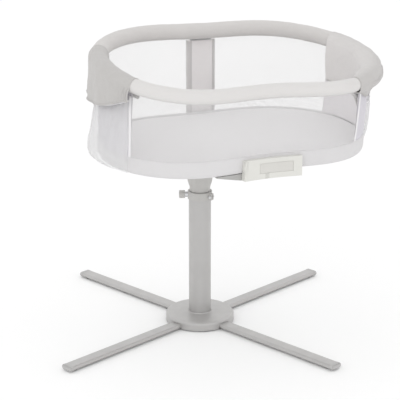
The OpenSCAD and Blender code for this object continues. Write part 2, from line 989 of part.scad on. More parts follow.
hub_shell();
hub_plate();
hub_pad();
post_socket();
socket_screws();
leg(225);  // leg_front_left
leg(315);  // leg_front_right
leg(135);  // leg_back_left
leg(45);  // leg_back_right
leg_bolts();
leg_end_caps();
foot_pads();
lower_post();
post_bush();
height_collar();
collar_screw();
pin_barrel();
pin_spring();
height_pin();
pin_knob();
upper_post();
post_glide();
swivel_housing();
swivel_bushes();
thrust_washer();
swivel_spindle();
spindle_clip();
swivel_head();
head_screws();
support_arm();
front_tab();
tab_plate();
back_upright();
upright_cover();
bottom_frame();
floor_board();
mattress();
fitted_sheet();
lower_band();
fixed_rim_tube();
fixed_rim_pad();
back_mesh();
front_mesh();
end_panel(180);  // end_panel_left
end_panel(0);  // end_panel_right
end_wrap(180);  // wrap_left
end_wrap(0);  // wrap_right
end_pocket(180);  // pocket_left
end_pocket(0);  // pocket_right
end_stay(-1);  // end_stay_left
end_stay(1);  // end_stay_right
pivot_pins();
rail_springs();
frame_screws();
front_rail_tube();
front_rail_pad();
rail_eyes();
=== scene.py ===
"""Bassinet on a swivelling stand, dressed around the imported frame. Metres, +Z up."""

import math

import bmesh
import bpy
import numpy as np
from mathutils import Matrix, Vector


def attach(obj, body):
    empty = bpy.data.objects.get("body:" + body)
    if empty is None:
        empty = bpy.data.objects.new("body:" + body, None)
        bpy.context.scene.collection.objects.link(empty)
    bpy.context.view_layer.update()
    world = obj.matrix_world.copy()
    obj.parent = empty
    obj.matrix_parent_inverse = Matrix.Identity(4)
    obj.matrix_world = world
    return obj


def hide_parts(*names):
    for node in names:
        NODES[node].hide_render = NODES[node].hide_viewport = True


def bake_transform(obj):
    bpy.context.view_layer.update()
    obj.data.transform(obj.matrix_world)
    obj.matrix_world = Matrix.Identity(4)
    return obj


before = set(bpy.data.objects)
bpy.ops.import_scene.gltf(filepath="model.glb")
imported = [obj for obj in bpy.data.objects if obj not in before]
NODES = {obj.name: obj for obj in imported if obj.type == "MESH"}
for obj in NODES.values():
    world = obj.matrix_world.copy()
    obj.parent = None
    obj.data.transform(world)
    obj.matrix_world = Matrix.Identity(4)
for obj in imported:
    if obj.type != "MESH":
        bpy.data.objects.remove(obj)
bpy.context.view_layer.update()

# ---- the bassinet's outline, as part.scad draws it --------------------------

SHELL_LENGTH, SHELL_WIDTH = 0.376, 0.313
RIM_LENGTH, RIM_WIDTH = 0.384, 0.310
POWER = 2.09
FRONT_WAIST, BACK_WAIST, WAIST_SPREAD = 0.25, 0.18, 0.206
FORWARD = 0.232
RIM_Z, RIM_SLOPE, RIM_TILT, RIM_SHIFT = 0.856, 0.153, 0.02304, 0.013
BAND_BOTTOM, BAND_TOP = 0.607, 0.650
PAD_RADIUS, RAIL_RADIUS = 0.0235, 0.0203
PIVOT_Y = -FORWARD
SEAM_LEFT, SEAM_RIGHT, PANEL_BACK = 23.0, 44.0, 22.0
UPRIGHT_X, UPRIGHT_Y = 0.020, 0.04466
METRES_PER_DEGREE = 0.0062  # along the outline, near its ends
UP = np.array([0.0, 0.0, 1.0])


def unit(v):
    return v / np.linalg.norm(v, axis=-1, keepdims=True)


def outline(t, length, width):
    """Points of an outline at angles t, in degrees from the right, anticlockwise."""
    a = np.radians(np.asarray(t, float))
    c, s = np.cos(a), np.sin(a)
    x = length * np.sign(c) * np.abs(c) ** (2 / POWER)
    waist = np.where(s < 0, FRONT_WAIST, BACK_WAIST)
    pinch = 1 - waist * np.exp(-((x / WAIST_SPREAD) ** 2))
    y = width * np.sign(s) * np.abs(s) ** (2 / POWER) * pinch - FORWARD
    return np.stack([x, y], -1)


def outward(t, length, width):
    t = np.asarray(t, float)
    d = outline(t + 0.4, length, width) - outline(t - 0.4, length, width)
    return unit(np.stack([d[..., 1], -d[..., 0]], -1))


def shell(t, out):
    """Plan points of the lower shell's outline, moved outward."""
    side = outward(t, SHELL_LENGTH, SHELL_WIDTH)
    return outline(t, SHELL_LENGTH, SHELL_WIDTH) + np.asarray(out)[..., None] * side


def rim_centre(t):
    p = outline(t, RIM_LENGTH, RIM_WIDTH)
    z = RIM_Z + RIM_SLOPE * (p[..., 1] + FORWARD) - RIM_TILT * p[..., 0]
    return np.stack([p[..., 0] + RIM_SHIFT, p[..., 1], z], -1)


def rim_axes(t):
    """Outward and upward directions square to the rim at angles t."""
    t = np.asarray(t, float)
    along = unit(rim_centre(t + 0.4) - rim_centre(t - 0.4))
    side = outward(t, RIM_LENGTH, RIM_WIDTH)
    out = np.concatenate([side, np.zeros_like(side[..., :1])], -1)
    return out, unit(np.cross(out, along))


def rim_surface(t, radius, angle):
    """Points round the rim's centre, at an angle in degrees from outward to up."""
    out, up = rim_axes(t)
    a = np.radians(np.asarray(angle, float))[..., None]
    r = np.asarray(radius, float)[..., None]
    return rim_centre(t) + r * (np.cos(a) * out + np.sin(a) * up)


def at_height(plan, z):
    """Plan points lifted to heights z, leaning to the right above the band."""
    z = np.broadcast_to(np.asarray(z, float), plan.shape[:-1])
    lean = RIM_SHIFT * np.maximum(0, z - BAND_TOP) / (RIM_Z - BAND_TOP)
    return np.stack([plan[..., 0] + lean, plan[..., 1], z], -1)


# ---- mesh building ----------------------------------------------------------


def waves(p, size, seed, octaves=3):
    """Smooth noise from -1 to 1 over points, with features of about that size."""
    rng = np.random.default_rng(seed)
    total, weight = np.zeros(p.shape[:-1]), 0.0
    for k in range(octaves):
        for _ in range(5):
            d = unit(rng.normal(size=p.shape[-1]))
            length = size * rng.uniform(0.7, 1.5) / 1.9**k
            turn = rng.uniform(0, 2 * math.pi)
            total += np.sin(p @ d * 2 * math.pi / length + turn) / 1.7**k
            weight += 0.5 / 1.7**k
    return total / weight


def smooth(x, low, high):
    """0 below low, 1 above high, and a smooth step between them."""
    w = np.clip((x - low) / (high - low), 0, 1)
    return w * w * (3 - 2 * w)


def grid_normals(p, round_rows, round_columns):
    def along(axis, is_round):
        if is_round:
            return np.roll(p, -1, axis) - np.roll(p, 1, axis)
        return np.gradient(p, axis=axis)

    return unit(np.cross(along(0, round_rows), along(1, round_columns)) + 1e-12)


def arc_lengths(p, axis):
    """Distance along one direction of a grid, averaged over the other."""
    steps = np.linalg.norm(np.diff(p, axis=axis), axis=-1).mean(axis=1 - axis)
    return np.concatenate([[0.0], np.cumsum(steps)])


def surface(
    name, p, round_rows=False, round_columns=False, thick=0.0, offset=-1.0, caps=False
):
    """A smooth mesh through a grid of points [row, column, xyz], with UVs in metres."""
    m, n = p.shape[:2]
    last_row, last_column = m - (not round_rows), n - (not round_columns)
    faces, uvs = [], []
    whole = p
    if round_rows:
        whole = np.concatenate([whole, whole[:1]], 0)
    if round_columns:
        whole = np.concatenate([whole, whole[:, :1]], 1)
    u, v = arc_lengths(whole, 0), arc_lengths(whole, 1)
    for i in range(last_row):
        for j in range(last_column):
            i2, j2 = (i + 1) % m, (j + 1) % n
            faces.append((i * n + j, i2 * n + j, i2 * n + j2, i * n + j2))
            uvs += [
                (u[i], v[j]),
                (u[i + 1], v[j]),
                (u[i + 1], v[j + 1]),
                (u[i], v[j + 1]),
            ]
    if caps and round_columns:
        faces.append(tuple(range(n)))
        uvs += [(p[0, j, 0], p[0, j, 2]) for j in range(n)]
        faces.append(tuple((m - 1) * n + j for j in reversed(range(n))))
        uvs += [(p[-1, j, 0], p[-1, j, 2]) for j in reversed(range(n))]
    mesh = bpy.data.meshes.new(name)
    mesh.from_pydata([tuple(q) for q in p.reshape(-1, 3)], [], faces)
    layer = mesh.uv_layers.new(name="metres")
    layer.data.foreach_set("uv", np.array(uvs, np.float32).ravel())
    mesh.polygons.foreach_set("use_smooth", [True] * len(mesh.polygons))
    mesh.validate()
    mesh.update()
    obj = bpy.data.objects.new(name, mesh)
    bpy.context.scene.collection.objects.link(obj)
    if thick:
        shell_modifier = obj.modifiers.new("thickness", "SOLIDIFY")
        shell_modifier.thickness = thick
        shell_modifier.offset = offset
        shell_modifier.use_even_offset = False
    return obj


def tube(name, path, radius, sides=10, closed=False, flat=1.0):
    """A round or flattened cord swept along points, with rounded ends."""
    path = np.asarray(path, float)
    if closed:
        along = unit(np.roll(path, -1, 0) - np.roll(path, 1, 0))
    else:
        along = unit(np.gradient(path, axis=0))
    side = unit(np.cross(along, UP))
    rise = np.cross(side, along)
    size = np.ones(len(path))
    if not closed:
        size[0] = size[-1] = 0.55
    a = np.linspace(0, 2 * math.pi, sides, endpoint=False)
    ring = (
        np.cos(a)[None, :, None] * side[:, None] * flat
        + np.sin(a)[None, :, None] * rise[:, None]
    )
    p = path[:, None] + ring * (radius * size)[:, None, None]
    return surface(name, p, round_rows=closed, round_columns=True, caps=not closed)


# ---- materials --------------------------------------------------------------


class Finish:
    """A procedural material, built node by node."""

    def __init__(self, name, colour, roughness, coords="UV", **sockets):
        self.material = bpy.data.materials.new(name)
        self.material.use_nodes = True
        self.tree = self.material.node_tree
        self.shader = self.tree.nodes["Principled BSDF"]
        self.colour = colour
        self.shader.inputs["Base Color"].default_value = (*colour, 1)
        self.shader.inputs["Roughness"].default_value = roughness
        for key, value in sockets.items():
            self.shader.inputs[key.replace("_", " ")].default_value = value
        self.coords = self.node("ShaderNodeTexCoord").outputs[coords]

    def node(self, kind, **settings):
        made = self.tree.nodes.new(kind)
        for key, value in settings.items():
            setattr(made, key, value)
        return made

    def put(self, socket, value):
        if isinstance(value, bpy.types.NodeSocket):
            self.tree.links.new(value, socket)
        else:
            socket.default_value = value

    def math(self, operation, a, b=0.0, c=0.0):
        made = self.node("ShaderNodeMath", operation=operation)
        for socket, value in zip(made.inputs, (a, b, c)):
            self.put(socket, value)
        return made.outputs[0]

    def noise(self, scale, detail=3.0):
        made = self.node("ShaderNodeTexNoise")
        self.put(made.inputs["Vector"], self.coords)
        made.inputs["Scale"].default_value = scale
        made.inputs["Detail"].default_value = detail
        return made.outputs["Fac"]

    def span(self, value, low, high, to_low, to_high):
        made = self.node("ShaderNodeMapRange")
        made.clamp = True
        for key, number in zip(
            ("Value", "From Min", "From Max", "To Min", "To Max"),
            (value, low, high, to_low, to_high),
        ):
            self.put(made.inputs[key], number)
        return made.outputs["Result"]

    def tint(self, factor, shade):
        """Mixes the colour so far with another, by a factor from 0 to 1."""
        made = self.node("ShaderNodeMix", data_type="RGBA")
        self.put(made.inputs["Factor"], factor)
        base = self.shader.inputs["Base Color"]
        if base.is_linked:
            self.put(made.inputs["A"], base.links[0].from_socket)
        else:
            made.inputs["A"].default_value = base.default_value[:]
        made.inputs["B"].default_value = (*shade, 1)
        self.put(base, made.outputs["Result"])
        return self

    def mottle(self, scale, amount):
        """Soft light and dark patches in the colour."""
        value = self.noise(scale)
        dark = tuple(c * (1 - amount) for c in self.colour)
        light = tuple(min(1, c * (1 + amount)) for c in self.colour)
        self.tint(self.span(value, 0.42, 0.2, 0, 1), dark)
        return self.tint(self.span(value, 0.58, 0.8, 0, 1), light)

    def bump(self, height, distance, strength=1.0):
        made = self.node("ShaderNodeBump")
        made.inputs["Strength"].default_value = strength
        made.inputs["Distance"].default_value = distance
        self.put(made.inputs["Height"], height)
        normal = self.shader.inputs["Normal"]
        if normal.is_linked:
            self.put(made.inputs["Normal"], normal.links[0].from_socket)
        self.put(normal, made.outputs["Normal"])
        return self

    def rough(self, scale, low, high):
        self.put(
            self.shader.inputs["Roughness"],
            self.span(self.noise(scale), 0.3, 0.7, low, high),
        )
        return self

    def across(self):
        """The two surface coordinates, in metres."""
        split = self.node("ShaderNodeSeparateXYZ")
        self.put(split.inputs[0], self.coords)
        return split.outputs[0], split.outputs[1]

    def weave(self, pitch, depth):
        """Over-and-under threads of a plain cloth."""
        u, v = self.across()
        turn = 2 * math.pi / pitch
        a = self.math("SINE", self.math("MULTIPLY", u, turn))
        b = self.math("SINE", self.math("MULTIPLY", v, turn))
        lift = self.math("MULTIPLY", a, b)
        fuzz = self.noise(900.0, 2.0)
        return self.bump(
            self.math("MULTIPLY_ADD", lift, 0.5, self.math("MULTIPLY", fuzz, 0.6)),
            depth,
        )

    def net(self, pitch, thread, closed, opening):
        """Diamond netting: opaque threads with open holes between them."""
        u, v = self.across()
        turn = math.pi / pitch
        rising = self.math("ADD", u, v)
        falling = self.math("SUBTRACT", u, v)
        lines = []
        for direction in (rising, falling):
            wave = self.math("SINE", self.math("MULTIPLY", direction, turn))
            lines.append(self.math("ABSOLUTE", wave))
        near = self.math("MINIMUM", *lines)
        edge = math.sin(math.pi * thread / pitch / 2)
        alpha = self.span(near, edge * 0.7, edge * 1.5, closed, opening)
        self.put(self.shader.inputs["Alpha"], alpha)
        return self.bump(self.span(near, 0.0, edge * 1.5, 1, 0), 0.0003)


def cloth(name, colour, pitch=0.0011, depth=0.00012, patch=9.0, amount=0.05, **more):
    finish = Finish(
        name,
        colour,
        0.88,
        Sheen_Weight=more.pop("sheen", 0.25),
        Sheen_Roughness=0.5,
        Specular_IOR_Level=0.2,
        **more,
    )
    finish.mottle(patch, amount)
    finish.bump(finish.noise(55.0, 4.0), 0.0012, 0.35)
    return finish.weave(pitch, depth)


def plastic(name, colour, roughness=0.42, grain=2600.0, amount=0.03):
    finish = Finish(
        name, colour, roughness, coords="Object", Specular_IOR_Level=0.45
    )
    finish.mottle(14.0, amount)
    finish.rough(60.0, roughness - 0.06, roughness + 0.1)
    return finish.bump(finish.noise(grain, 2.0), 0.00008, 0.5)


def metal(name, colour, roughness, metallic=1.0):
    finish = Finish(name, colour, roughness, coords="Object", Metallic=metallic)
    finish.mottle(8.0, 0.05)
    finish.rough(35.0, roughness - 0.06, roughness + 0.1)
    return finish.bump(finish.noise(700.0, 2.0), 0.00004, 0.5)


FINISHES = {
    "frame_silver": metal("frame_silver", (0.49, 0.482, 0.475), 0.38, 0.55),
    "dark_steel": metal("dark_steel", (0.34, 0.34, 0.34), 0.45, 0.8),
    "bright_steel": metal("bright_steel", (0.66, 0.66, 0.67), 0.28),
    "rubber": plastic("rubber", (0.13, 0.13, 0.13), 0.75, 900.0, 0.1),
    "cap_plastic": plastic("cap_plastic", (0.46, 0.455, 0.45), 0.5),
    "grey_plastic": plastic("grey_plastic", (0.50, 0.49, 0.475), 0.5),
    "white_plastic": plastic("white_plastic", (0.78, 0.78, 0.76), 0.4),
    "arm_plastic": plastic("arm_plastic", (0.40, 0.395, 0.385), 0.55),
    "tab_plastic": plastic("tab_plastic", (0.66, 0.655, 0.62), 0.42),
    "tab_inlay": plastic("tab_inlay", (0.60, 0.59, 0.56), 0.35),
    "board_plastic": plastic("board_plastic", (0.70, 0.70, 0.69), 0.5),
    "foam": cloth("foam", (0.76, 0.75, 0.72), 0.002, 0.0002),
    "sheet_fabric": cloth("sheet_fabric", (0.74, 0.73, 0.735), 0.0009, 0.0001),
    "band_fabric": cloth("band_fabric", (0.65, 0.64, 0.645), 0.0012, 0.00015),
    "rim_fabric": cloth(
        "rim_fabric", (0.68, 0.665, 0.655), 0.0012, 0.00018, amount=0.04
    ),
    "mesh": Finish("mesh", (0.80, 0.79, 0.795), 0.7, Specular_IOR_Level=0.3),
    "panel_fabric": cloth("panel_fabric", (0.62, 0.60, 0.645), 0.0013, 0.00016),
    # The wrap's cloth is the rim's cloth painted darker, as painted shade.
    "wrap_fabric": cloth("wrap_fabric", (0.51, 0.497, 0.485), 0.0012, 0.00018),
    "pocket_mesh": Finish("pocket_mesh", (0.90, 0.895, 0.90), 0.7),
    "upright_sleeve": cloth("upright_sleeve", (0.93, 0.90, 0.895), 0.0013, 0.00018),
}
FINISHES["mesh"].net(0.0026, 0.0004, 0.8, 0.07)
FINISHES["pocket_mesh"].net(0.0020, 0.0005, 0.9, 0.3)
FINISHES["rim_shaded"] = cloth("rim_shaded", (0.62, 0.60, 0.587), 0.0012, 0.00018)

# Painted shade and light on the right wrap: its outside is painted dark as shade, and
# it grows lighter from its outside to its inner flap as painted light.
painted_wrap_shading = cloth("wrap_tucked", (0.52, 0.505, 0.495), 0.0012, 0.00018)
painted_wrap_shading.tint(painted_wrap_shading.span(painted_wrap_shading.across()[1], 0.085, 0.15, 0, 1), (0.73, 0.71, 0.70))
FINISHES["wrap_tucked"] = painted_wrap_shading
# Side strips of the sleeve: darker binding cloth, partly painted shade for the sleeve's
# rounded sides.
FINISHES["edging"] = cloth("edging", (0.56, 0.54, 0.535), 0.0008, 0.0001)
FINISHES["lining"] = cloth("lining", (0.78, 0.755, 0.77), 0.0013, 0.00016)
FINISHES["binding"] = cloth("binding", (0.80, 0.79, 0.80), 0.0008, 0.0001)


def coat(obj, slot, finish=None):
    """Gives a piece its finish: the one named, or else the one named after its slot."""
    obj.data.materials.clear()
    obj.data.materials.append(FINISHES[finish or slot].material)
    return obj


# ---- pieces at the front rail, with their placing baked into the mesh -------


def bend_front(obj):
    """The front wall, from the band up to the front rail."""
    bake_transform(obj)


def bend_end(obj):
    """An end wall, up to the front rail at its upper front corner; only its placing is
    baked in.
    """
    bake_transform(obj)


def bend_wrap(obj):
    """A wrap over the pivot, from the fixed rim to the front rail."""
    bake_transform(obj)


# ---- padded rims ------------------------------------------------------------


def padded_rim(name, first, last, radius, seam, seed):
    """Padding round a rim tube, with a sewn seam along its underside."""
    count = int((last - first) / 0.5)
    t = np.linspace(first, last, count)[:, None]
    angle = np.linspace(0, 360, 40, endpoint=False)[None, :]
    t, angle = np.broadcast_arrays(t, angle)
    r = np.full(t.shape, radius - 0.0006)
    apart = (angle - seam + 180) % 360 - 180
    r = r - 0.0022 * np.exp(-((apart / 5.0) ** 2))
    base = rim_surface(t, radius, angle)
    along = arc_lengths(rim_centre(t), 0)[:, None]
    pucker = np.sin(along * 2 * math.pi / 0.011 + 2 * np.sin(along * 40))
    r = r + 0.0003 * pucker * np.exp(-((apart / 16.0) ** 2))
    r = r + 0.0005 * waves(base, 0.06, seed) + 0.0003 * waves(base, 0.018, seed + 1)
    end = np.minimum(t - first, last - t)
    r = r - 0.004 * (1 - smooth(end, 0.0, 2.5))
    return surface(name, rim_surface(t, r, angle), round_columns=True, caps=True)


rim = padded_rim("rim_padding", 3.4, 176.6, PAD_RADIUS, 235, 3)
coat(rim, "rim_fabric", "rim_shaded")
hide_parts("fixed_rim_pad")
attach(rim, "bassinet")
rail = padded_rim("front_rail_padding", 186.0, 354.0, RAIL_RADIUS, 300, 7)
coat(rail, "rim_fabric")
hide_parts("front_rail_pad")
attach(rail, "front_rail")

# ---- netting walls ----------------------------------------------------------


RIGHT_PULL, PULL_ANGLE, PULL_SPREAD = 0.009, -8, 34.0
TAPE_WIDTH = 0.009


def wall(t, share, out, pad):
    """Points of a cloth wall between the band and the underside of the rim. On the
    right it hangs from the rim's inner side."""
    low = shell(t, out)
    centre = rim_centre(t)
    side = outward(t, RIM_LENGTH, RIM_WIDTH)
    apart = (t + 180 - PULL_ANGLE) % 360 - 180
    snug = RIGHT_PULL * share * np.exp(-((apart / PULL_SPREAD) ** 2))
    high = centre[..., :2] + (np.asarray(out) - snug)[..., None] * side
    top = centre[..., 2] - pad + 0.0015 + 0.4 * snug
    z = BAND_TOP - 0.002 + (top - BAND_TOP + 0.002) * share
    return np.concatenate([low + (high - low) * share[..., None], z[..., None]], -1)


def netting(name, first, last, pad):
    t = np.linspace(first, last, 150)[:, None]
    share = np.linspace(0, 1, 34)[None, :]
    t, share = np.broadcast_arrays(t, share)
    base = wall(t, share, np.full(t.shape, 0.0006), pad)
    pull = np.sin(math.pi * share) ** 0.8
    depth = -0.002 * pull + 0.0022 * pull * waves(base, 0.16, 11, 2)
    obj = surface(name, base + depth[..., None] * grid_normals(base, False, False))
    return coat(obj, "mesh")


back_net = netting("back_netting", PANEL_BACK, 180 - PANEL_BACK, PAD_RADIUS)
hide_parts("back_mesh")
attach(back_net, "bassinet")
front_net = netting("front_netting", 180 + SEAM_LEFT, 360 - SEAM_RIGHT, RAIL_RADIUS)
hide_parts("front_mesh")
bend_front(front_net)


def seam_tape(name, t, pad):
    """Folded tape over the seam between netting and an end panel."""
    share = np.linspace(0, 0.94, 40)[None, :]
    across = np.linspace(-0.5, 0.5, 9)[:, None]
    turn = across * (TAPE_WIDTH / METRES_PER_DEGREE)
    t, share = np.broadcast_arrays(t + turn, share)
    crown = 0.0013 + 0.0004 * np.cos(across * math.pi) * np.ones(t.shape)
    p = wall(t, share, crown, pad)
    p = p + (0.0003 * waves(p, 0.02, 5))[..., None]
    return coat(surface(name, p, thick=0.0018), "band_fabric", "binding")


for label, t in (("left", 180 + SEAM_LEFT), ("right", 360 - SEAM_RIGHT)):
    bend_front(seam_tape(f"front_seam_{label}", t, RAIL_RADIUS))
for label, t in (("left", 180 - PANEL_BACK), ("right", PANEL_BACK)):
    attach(seam_tape(f"back_seam_{label}", t, PAD_RADIUS), "bassinet")

# ---- end panels and the lining inside them ----------------------------------


PANEL_TUCK = 0.0175  # from the rim's centre down to the cloth's upper edge


def end_range(side, margin=0.0):
    """First and last angle of one end, running anticlockwise from above."""
    if side > 0:
        return -SEAM_RIGHT + margin, PANEL_BACK - margin
    return 180 - PANEL_BACK + margin, 180 + SEAM_LEFT - margin


def end_cloth(name, side, out_low, out_high, folds, seed, finish=None):
    """Upright cloth round one end, from the band to the rim."""
    first, last = end_range(side)
    t = np.linspace(first, last, 120)[:, None]
    share = np.linspace(0, 1, 48)[None, :]
    t, share = np.broadcast_arrays(t, share)
    centre = rim_centre(t)
    top = centre[..., 2] - PANEL_TUCK
    z = BAND_TOP - 0.001 + (top - BAND_TOP + 0.001) * share
    middle = np.exp(-(((t - (0 if side > 0 else 180)) / 13.0) ** 2))
    out = out_low + (out_high - out_low) * middle
    edge = smooth(np.minimum(t - first, last - t), 0, 3)
    drift = 0.004 * waves(np.stack([share * 0.3, t * 0.004], -1), 0.12, seed)
    along = t * METRES_PER_DEGREE + drift
    phase = along * 2 * math.pi / 0.034 + 1.5 * np.sin(along * 21 + seed)
    fold = np.sin(phase) * (0.6 + 0.4 * np.sin(along * 33))
    grow = edge * np.sin(math.pi * np.clip(share, 0, 1)) ** 0.5
    out = out + folds * grow * (fold + 0.5 * waves(centre, 0.05, seed + 2))
    p = at_height(shell(t, out), z)
    return coat(surface(name, p, thick=0.0009), "panel_fabric", finish)


panels = {}
for label, side in (("left", -1), ("right", 1)):
    panel = end_cloth(
        f"end_cloth_{label}", side, 0.0012, 0.0012, 0.0012, 20 + side
    )
    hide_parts(f"end_panel_{label}")
    bend_end(panel)
    lining = end_cloth(
        f"end_lining_{label}", side, -0.0014, -0.0064, 0.0006, 30 + side, "lining"
    )
    bend_end(lining)
    panels[label] = (panel, lining)

# ---- wraps over the ends of the rims ----------------------------------------


WRAP_RADIUS = 0.0262
WRAP_METRES_PER_DEGREE = 0.0065
WRAP_ARCS = {-1: (0.41, 0.76), 1: (0.30, 0.70)}  # where q is on top of the rim
PAST_SEAM = {-1: 3, 1: 7}  # degrees of rail that the wrap covers beyond its panel
TUCK_TURN, TUCK_SHARE, TUCK_DROP = 60, 0.45, 0.0263


def skirt_drop(share):
    """How far the left wrap hangs, from -1 at its back edge to 1 at its front edge."""
    return 0.091 - 0.033 * share - 0.021 * share**2


def wrap_section(side, share, q, reach):
    """Outward and upward distance from the rim's centre, and the shares of the outer
    skirt and of the inner flap. q runs from 0 at the outer hem to 1 at the inner hem,
    and reach falls to 0 where the wrap closes round the front rail."""
    r = WRAP_RADIUS
    arc_from, arc_to = WRAP_ARCS[side]
    skirt = np.clip((arc_from - q) / arc_from, 0, 1)
    flap = np.clip((q - arc_to) / (1 - arc_to), 0, 1)
    angle = np.radians(180.0 * np.clip((q - arc_from) / (arc_to - arc_from), 0, 1))
    out, up = r * np.cos(angle), r * np.sin(angle)
    if side < 0:
        out = out + 0.006 * skirt**1.3
        up = up - skirt_drop(np.minimum(share, 1)) * skirt
    else:
        under = np.radians(TUCK_TURN * np.clip(skirt / TUCK_SHARE, 0, 1))
        rest = np.clip((skirt - TUCK_SHARE) / (1 - TUCK_SHARE), 0, 1)
        full = r + 0.004 * smooth(share, -0.2, 0.8) * reach
        below = full * np.cos(under) + (-0.0018 - full * 0.5) * rest
        out = np.where(skirt > 0, below, out)
        hanging = -full * np.sin(under) - TUCK_DROP * rest * reach
        up = np.where(skirt > 0, hanging, up)
    if side < 0:
        out = out + (r - 0.0165) * smooth(flap, 0.1, 1.0)
        out = out - 0.003 * np.sin(math.pi * flap)
        up = up - 0.036 * flap
    else:
        out = out + (0.002 * reach + 0.012 * (1 - reach)) * smooth(flap, 0.1, 1.0)
        up = up - (0.030 + 0.062 * reach + 0.022 * smooth(-share, -0.5, 0.5)) * flap
    return out, up, skirt, flap


def end_wrap(name, side, puff, seed):
    first, last = end_range(side, 0.2)
    if side > 0:
        first -= PAST_SEAM[side]
    else:
        last += PAST_SEAM[side]
    t = np.linspace(first, last, 150)[:, None]
    q = np.linspace(0, 1, 84)[None, :]
    t, q = np.broadcast_arrays(t, q)
    turn = (t - 180) / SEAM_LEFT if side < 0 else -t / SEAM_LEFT
    front = (t - first) if side > 0 else (last - t)
    back = (last - t) if side > 0 else (t - first)
    closing = smooth(front, 0, 16) if side > 0 else np.ones(t.shape)
    out, up, skirt, flap = wrap_section(side, turn, q, closing)
    swell = puff * smooth(front, 0, 9) * smooth(back, 6, 40)
    pinch = 0.0044 * (1 - smooth(front, 0, 12)) + 0.001 * (1 - smooth(back, 0, 4))
    arc = (1 - smooth(skirt, 0, 0.5)) * (1 - smooth(flap, 0.2, 1.0))
    grow = 1 + (swell - pinch) * arc / WRAP_RADIUS
    out = out * grow
    up = np.where(up > 0, up * grow, up)
    axes_out, axes_up = rim_axes(t)
    mix = np.maximum(skirt, flap)[..., None]
    p = (
        rim_centre(t)
        + out[..., None] * axes_out
        + up[..., None] * (axes_up * (1 - mix) + UP * mix)
    )
    n = grid_normals(p, False, False)
    outside = (65, 28)  # a row and column on the rim's outer side
    facing = np.sign((n * axes_out).sum(-1)[outside])
    n = n * facing
    near_front = 1 - smooth(front, 0, 9)
    near_back = 1 - smooth(back, 0, 7)
    along = t * WRAP_METRES_PER_DEGREE
    gather = np.sin(along * 2 * math.pi / 0.012 + 0.8 * np.sin(q * 9 + seed))
    low = smooth(skirt, 0.0, 0.3) * (1 - 0.6 * smooth(skirt, 0.6, 1.0))
    loose = 1.0 if side < 0 else 0.12
    lift = 0.0020 * gather * near_front * (0.15 + low + 0.4 * flap) * loose
    lift += 0.0011 * gather * near_back * (0.5 + flap) * loose
    lift += 0.0015 * waves(p, 0.09, seed) + 0.0006 * waves(p, 0.035, seed + 1)
    wide = np.sin(along * 2 * math.pi / 0.085 + 1.0)
    lift += 0.0025 * (skirt if side < 0 else 0.3 * skirt) * wide
    lift += 0.0016 * loose * flap * np.sin(along * 2 * math.pi / 0.042 + 2.0)
    p = p + lift[..., None] * n
    obj = surface(name, p, thick=0.0022, offset=-facing)
    # The wrap's finish carries painted shade, and on the right also painted light
    # towards the inner flap.
    return coat(obj, "wrap_fabric", "wrap_tucked" if side > 0 else None), p


wraps = {}
for label, side, puff in (("left", -1, 0.000), ("right", 1, 0.004)):
    wrap, p = end_wrap(f"end_wrap_{label}", side, puff, 40 + side)
    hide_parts(f"wrap_{label}")
    bend_wrap(wrap)
    # Hem and flap cords take the wrap's cloth with its painted shade.
    hem = tube(f"wrap_hem_{label}", p[1:-1, 0], 0.0021, 8, flat=1.2)
    coat(hem, "wrap_fabric")
    bend_wrap(hem)
    inner = tube(f"wrap_flap_{label}", p[1:-1, -1], 0.0018, 8, flat=1.2)
    coat(inner, "wrap_fabric")
    bend_wrap(inner)
    wraps[label] = (wrap, hem, inner)

# ---- lower band -------------------------------------------------------------

LOOP = np.linspace(0, 360, 240, endpoint=False)
BAND_SECTION = (
    (-0.0040, 0.6425),
    (-0.0034, 0.6485),
    (-0.0012, 0.6512),
    (0.0009, 0.6510),
    (0.0012, 0.6465),
    (0.0018, 0.6380),
    (0.0019, 0.6290),
    (0.0016, 0.6205),
    (0.0006, 0.6140),
    (-0.0012, 0.6095),
    (-0.0042, 0.6068),
    (-0.0120, 0.6064),
    (-0.0195, 0.6066),
    (-0.0215, 0.6078),
)
section = np.array(BAND_SECTION)
steps = np.linspace(0, len(section) - 1, 44)
outs = np.interp(steps, range(len(section)), section[:, 0])
heights = np.interp(steps, range(len(section)), section[:, 1])
outs = np.convolve(np.pad(outs, 2, "edge"), np.ones(5) / 5, "valid")
heights = np.convolve(np.pad(heights, 2, "edge"), np.ones(5) / 5, "valid")
t, o = np.broadcast_arrays(LOOP[:, None], outs[None, :])
z = np.broadcast_to(heights[None, :], t.shape)
p = at_height(shell(t, o), z)
middle = np.sin(math.pi * np.clip((z - 0.612) / 0.038, 0, 1))
ease = (0.0006 * waves(p, 0.09, 51) - 0.0004) * middle
p = p + ease[..., None] * grid_normals(p, True, False)
band = coat(surface("lower_band_cloth", p, round_rows=True, thick=0.001), "band_fabric")
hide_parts("lower_band")
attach(band, "bassinet")
piping = tube(
    "band_piping",
    at_height(shell(LOOP, np.full(LOOP.shape, 0.0012)), 0.6512),
    0.0016,
    8,
    closed=True,
)
coat(piping, "band_fabric")
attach(piping, "bassinet")

# ---- mattress and its fitted sheet ------------------------------------------


